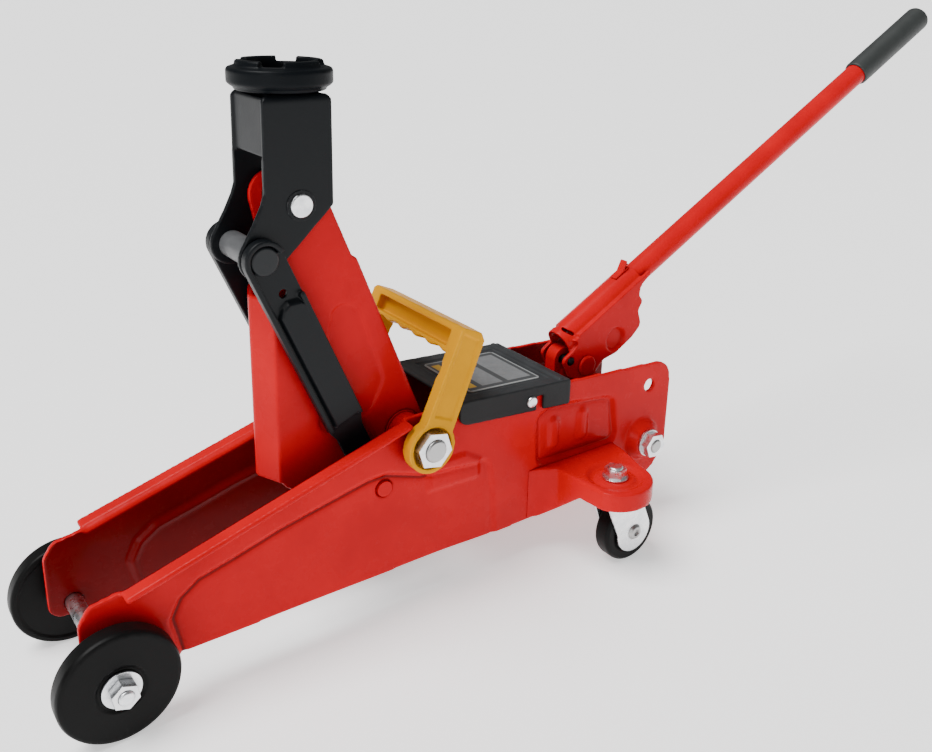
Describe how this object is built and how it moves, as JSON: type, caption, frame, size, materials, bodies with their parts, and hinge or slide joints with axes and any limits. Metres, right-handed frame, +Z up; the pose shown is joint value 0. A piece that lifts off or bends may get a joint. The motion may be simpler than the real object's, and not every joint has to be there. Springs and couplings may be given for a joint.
{
  "type": "trolley jack",
  "caption": "Low hydraulic trolley jack on wheels and swivel castors, with a lifting arm, a level turning saddle, a pump handle and a folding carrying handle.",
  "frame": {"origin": "centre of the whole jack on the floor, halfway between the front of the wheels and the end of the handle", "axes": "+X along the jack from the front wheels to the handle, +Y to its right-hand side seen from the handle, +Z up"},
  "size_m": [0.7586, 0.198, 0.3583],
  "materials": {
    "red_paint": "gloss",
    "black_paint": "satin",
    "zinc_plate": "bright",
    "steel": "oiled",
    "wheel_black": "semi-gloss",
    "cover_black": "matte",
    "grip_rubber": "matte",
    "yellow_plastic": "semi-gloss"
  },
  "bodies": {
    "chassis": {"side_plate_left": "red_paint", "side_plate_right": "red_paint", "front_axle": "zinc_plate", "front_wheel_washers": "zinc_plate", "front_wheel_nuts": "zinc_plate", "arm_pivot_bolt": "steel", "arm_pivot_spacers": "red_paint", "arm_pivot_nuts": "zinc_plate", "link_pivot_pins": "red_paint", "rear_cross_bolt": "steel", "rear_cross_nuts": "zinc_plate", "castor_bracket_left": "red_paint", "castor_bracket_right": "red_paint", "pump_block": "red_paint", "block_bolts": "zinc_plate", "oil_reservoir": "red_paint", "ram_cylinder": "steel", "gland_nut": "steel", "pump_cylinder": "steel", "filler_plug": "grip_rubber", "power_cover": "cover_black", "cover_screws": "zinc_plate", "socket_pin": "red_paint"},
    "lifting_arm": {"lift_arm": "red_paint", "arm_bush": "red_paint", "crank_pin": "steel"},
    "link_left": {"link_left": "black_paint"},
    "link_right": {"link_right": "black_paint"},
    "bracket": {"saddle_bracket": "black_paint", "saddle_pin": "zinc_plate", "saddle_pin_clips": "black_paint", "link_pins_upper": "black_paint"},
    "saddle_turning": {"saddle": "black_paint", "saddle_ring": "steel"},
    "ram_moving": {"ram": "steel", "ram_piston": "grip_rubber"},
    "socket": {"handle_socket": "red_paint", "plunger_pin": "black_paint", "socket_spring_clip": "red_paint"},
    "handle": {"handle_tube": "red_paint", "handle_grip": "grip_rubber"},
    "plunger": {"pump_plunger": "red_paint"},
    "valve": {"release_valve": "steel"},
    "carrying_handle": {"carry_handle": "yellow_plastic"},
    "wheel_front_left": {"front_wheel_left": "wheel_black"},
    "wheel_front_right": {"front_wheel_right": "wheel_black"},
    "castor_left": {"castor_fork_left": "zinc_plate", "castor_nut_left": "zinc_plate", "castor_axle_left": "steel"},
    "castor_right": {"castor_fork_right": "zinc_plate", "castor_nut_right": "zinc_plate", "castor_axle_right": "steel"},
    "wheel_castor_left": {"castor_wheel_left": "wheel_black"},
    "wheel_castor_right": {"castor_wheel_right": "wheel_black"}
  },
  "joints": [
    {"name": "arm_lift", "type": "hinge", "parent": "chassis", "child": "lifting_arm", "pos_m": [-0.15868, 0, 0.11], "axis": [0, 1, 0], "range_deg": [-78, 0]},
    {"name": "saddle_level", "type": "hinge", "parent": "lifting_arm", "child": "bracket", "pos_m": [-0.2247, 0, 0.25827], "axis": [0, 1, 0], "range_deg": [-0.5, 78.5]},
    {"name": "link_left_swing", "type": "hinge", "parent": "chassis", "child": "link_left", "pos_m": [-0.18268, -0.0225, 0.084], "axis": [0, 1, 0], "range_deg": [-78.5, 0.5]},
    {"name": "link_right_swing", "type": "hinge", "parent": "chassis", "child": "link_right", "pos_m": [-0.18268, 0.0225, 0.084], "axis": [0, 1, 0], "range_deg": [-78.5, 0.5]},
    {"name": "ram_stroke", "type": "slide", "parent": "chassis", "child": "ram_moving", "axis": [1, 0, 0], "range_m": [-0.0003, 0.06289]},
    {"name": "saddle_turn", "type": "hinge", "parent": "bracket", "child": "saddle_turning", "pos_m": [-0.2247, 0, 0.32], "axis": [0, 0, 1], "continuous": true},
    {"name": "handle_pump", "type": "hinge", "parent": "chassis", "child": "socket", "pos_m": [-0.00368, 0, 0.116], "axis": [0, -1, 0], "range_deg": [-14, 40]},
    {"name": "handle_twist", "type": "hinge", "parent": "socket", "child": "handle", "pos_m": [0.02088, 0, 0.1542], "axis": [0.8746, 0, 0.4848], "range_deg": [0, 90]},
    {"name": "plunger_stroke", "type": "slide", "parent": "chassis", "child": "plunger", "axis": [0, 0, 1], "range_m": [-0.0106, 0.00384]},
    {"name": "valve_turn", "type": "hinge", "parent": "chassis", "child": "valve", "pos_m": [0.02232, 0, 0.044], "axis": [1, 0, 0], "range_deg": [-0.5, 90.5]},
    {"name": "carry_handle_swing", "type": "hinge", "parent": "chassis", "child": "carrying_handle", "pos_m": [-0.15868, 0, 0.11], "axis": [0, 1, 0], "range_deg": [-18, 38]},
    {"name": "front_wheel_left_roll", "type": "hinge", "parent": "chassis", "child": "wheel_front_left", "pos_m": [-0.34769, -0.048, 0.0316], "axis": [0, 1, 0], "continuous": true},
    {"name": "castor_left_swivel", "type": "hinge", "parent": "chassis", "child": "castor_left", "pos_m": [-0.02968, -0.074, 0.055], "axis": [0, 0, 1], "continuous": true},
    {"name": "castor_left_roll", "type": "hinge", "parent": "castor_left", "child": "wheel_castor_left", "pos_m": [-0.01668, -0.074, 0.0225], "axis": [0, 1, 0], "continuous": true},
    {"name": "front_wheel_right_roll", "type": "hinge", "parent": "chassis", "child": "wheel_front_right", "pos_m": [-0.34769, 0.048, 0.0316], "axis": [0, 1, 0], "continuous": true},
    {"name": "castor_right_swivel", "type": "hinge", "parent": "chassis", "child": "castor_right", "pos_m": [-0.02968, 0.074, 0.055], "axis": [0, 0, 1], "continuous": true},
    {"name": "castor_right_roll", "type": "hinge", "parent": "castor_right", "child": "wheel_castor_right", "pos_m": [-0.01668, 0.074, 0.0225], "axis": [0, 1, 0], "continuous": true}
  ],
  "couplings": [
    {"joint": "saddle_level", "follows": "arm_lift", "ratio": -1},
    {"joint": "link_left_swing", "follows": "arm_lift", "ratio": 1},
    {"joint": "link_right_swing", "follows": "arm_lift", "ratio": 1},
    {"joint": "ram_stroke", "follows": "arm_lift", "m_per_rad": -0.045974},
    {"joint": "plunger_stroke", "follows": "handle_pump", "m_per_rad": -0.014895},
    {"joint": "valve_turn", "follows": "handle_twist", "ratio": 1}
  ]
}
